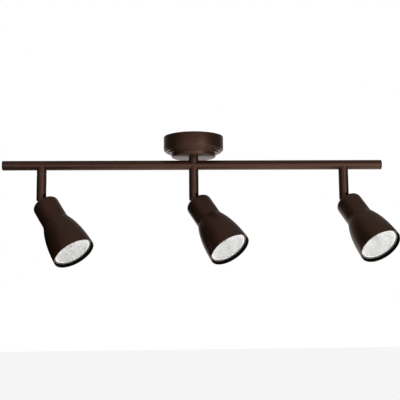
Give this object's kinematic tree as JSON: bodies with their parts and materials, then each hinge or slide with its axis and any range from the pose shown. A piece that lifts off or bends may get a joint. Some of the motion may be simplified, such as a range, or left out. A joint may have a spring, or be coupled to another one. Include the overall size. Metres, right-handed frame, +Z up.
{
  "type": "ceiling spotlight bar",
  "caption": "Straight ceiling bar with a stepped round canopy and bell-shaped spot heads on short drop arms that turn and tilt.",
  "frame": {"origin": "centre of the canopy's open top, on the ceiling", "axes": "+Z up into the ceiling, +X along the bar, -Y towards the front"},
  "size_m": [0.5064, 0.1201, 0.1723],
  "materials": {
    "bronze_paint": "satin oil-rubbed bronze powder coat",
    "bronze_screw": "blackened bronze plate",
    "black_plastic": "moulded, fine matt grain",
    "zinc_steel": "zinc-plated pressed steel",
    "zinc_screw": "zinc-plated turned steel",
    "brass_screw": "bright brass",
    "terminal_plastic": "off-white moulded nylon",
    "lead_insulation": "extruded insulation",
    "lead_sleeve": "braided glass-fibre sleeve",
    "holder_ceramic": "unglazed steatite",
    "lamp_ceramic": "fine white ceramic",
    "pin_metal": "nickel-plated",
    "reflector_mirror": "faceted aluminised glass",
    "lamp_glass": "clear front glass",
    "quartz_glass": "frosted quartz capsule"
  },
  "bodies": {
    "fixture": {"canopy": "bronze_paint", "ceiling_strap": "zinc_steel", "canopy_side_screws": "bronze_screw", "terminal_block": "terminal_plastic", "terminal_screws": "zinc_screw", "earth_screw": "brass_screw", "stem": "bronze_paint", "stem_nut": "zinc_screw", "bar_tube": "bronze_paint", "bar_end_plugs": "black_plastic", "arm_collars": "bronze_paint", "supply_leads": "lead_insulation"},
    "left_arm": {"left_arm_tube": "bronze_paint", "left_swivel_nipple": "zinc_steel", "left_swivel_nut": "zinc_screw", "left_pivot_screw": "bronze_screw"},
    "left_head": {"left_tongue": "bronze_paint", "left_tongue_nut": "zinc_screw", "left_shade": "bronze_paint", "left_holder_bracket": "zinc_steel", "left_holder_screws": "zinc_screw", "left_lampholder": "holder_ceramic", "left_head_leads": "lead_sleeve"},
    "left_lamp": {"left_lamp_base": "lamp_ceramic", "left_lamp_pins": "pin_metal", "left_lamp_reflector": "reflector_mirror", "left_lamp_glass": "lamp_glass", "left_lamp_burner": "quartz_glass"},
    "middle_arm": {"middle_arm_tube": "bronze_paint", "middle_swivel_nipple": "zinc_steel", "middle_swivel_nut": "zinc_screw", "middle_pivot_screw": "bronze_screw"},
    "middle_head": {"middle_tongue": "bronze_paint", "middle_tongue_nut": "zinc_screw", "middle_shade": "bronze_paint", "middle_holder_bracket": "zinc_steel", "middle_holder_screws": "zinc_screw", "middle_lampholder": "holder_ceramic", "middle_head_leads": "lead_sleeve"},
    "middle_lamp": {"middle_lamp_base": "lamp_ceramic", "middle_lamp_pins": "pin_metal", "middle_lamp_reflector": "reflector_mirror", "middle_lamp_glass": "lamp_glass", "middle_lamp_burner": "quartz_glass"},
    "right_arm": {"right_arm_tube": "bronze_paint", "right_swivel_nipple": "zinc_steel", "right_swivel_nut": "zinc_screw", "right_pivot_screw": "bronze_screw"},
    "right_head": {"right_tongue": "bronze_paint", "right_tongue_nut": "zinc_screw", "right_shade": "bronze_paint", "right_holder_bracket": "zinc_steel", "right_holder_screws": "zinc_screw", "right_lampholder": "holder_ceramic", "right_head_leads": "lead_sleeve"},
    "right_lamp": {"right_lamp_base": "lamp_ceramic", "right_lamp_pins": "pin_metal", "right_lamp_reflector": "reflector_mirror", "right_lamp_glass": "lamp_glass", "right_lamp_burner": "quartz_glass"}
  },
  "joints": [
    {"name": "left_pan", "type": "hinge", "parent": "fixture", "child": "left_arm", "pos_m": [-0.2, 0, -0.0495], "axis": [0, 0, 1], "range_deg": [-123.4, 196.6]},
    {"name": "left_tilt", "type": "hinge", "parent": "left_arm", "child": "left_head", "pos_m": [-0.2, 0, -0.0803], "axis": [-0.5962, -0.8028, 0], "range_deg": [-38.8, 51.2]},
    {"name": "left_lamp_twist", "type": "hinge", "parent": "left_head", "child": "left_lamp", "pos_m": [-0.2, 0, -0.0803], "axis": [-0.503, 0.3736, 0.7793], "range_deg": [0, 25]},
    {"name": "middle_pan", "type": "hinge", "parent": "fixture", "child": "middle_arm", "pos_m": [0, 0, -0.0495], "axis": [0, 0, 1], "range_deg": [-112.4, 207.6]},
    {"name": "middle_tilt", "type": "hinge", "parent": "middle_arm", "child": "middle_head", "pos_m": [0, 0, -0.0803], "axis": [-0.7385, -0.6743, 0], "range_deg": [-41.6, 48.4]},
    {"name": "middle_lamp_twist", "type": "hinge", "parent": "middle_head", "child": "middle_lamp", "pos_m": [0, 0, -0.0803], "axis": [-0.4477, 0.4903, 0.7478], "range_deg": [0, 25]},
    {"name": "right_pan", "type": "hinge", "parent": "fixture", "child": "right_arm", "pos_m": [0.2, 0, -0.0495], "axis": [0, 0, 1], "range_deg": [-96.5, 223.5]},
    {"name": "right_tilt", "type": "hinge", "parent": "right_arm", "child": "right_head", "pos_m": [0.2, 0, -0.0803], "axis": [-0.8949, -0.4462, 0], "range_deg": [-43.4, 46.6]},
    {"name": "right_lamp_twist", "type": "hinge", "parent": "right_head", "child": "right_lamp", "pos_m": [0.2, 0, -0.0803], "axis": [-0.3066, 0.6149, 0.7266], "range_deg": [0, 25]}
  ]
}
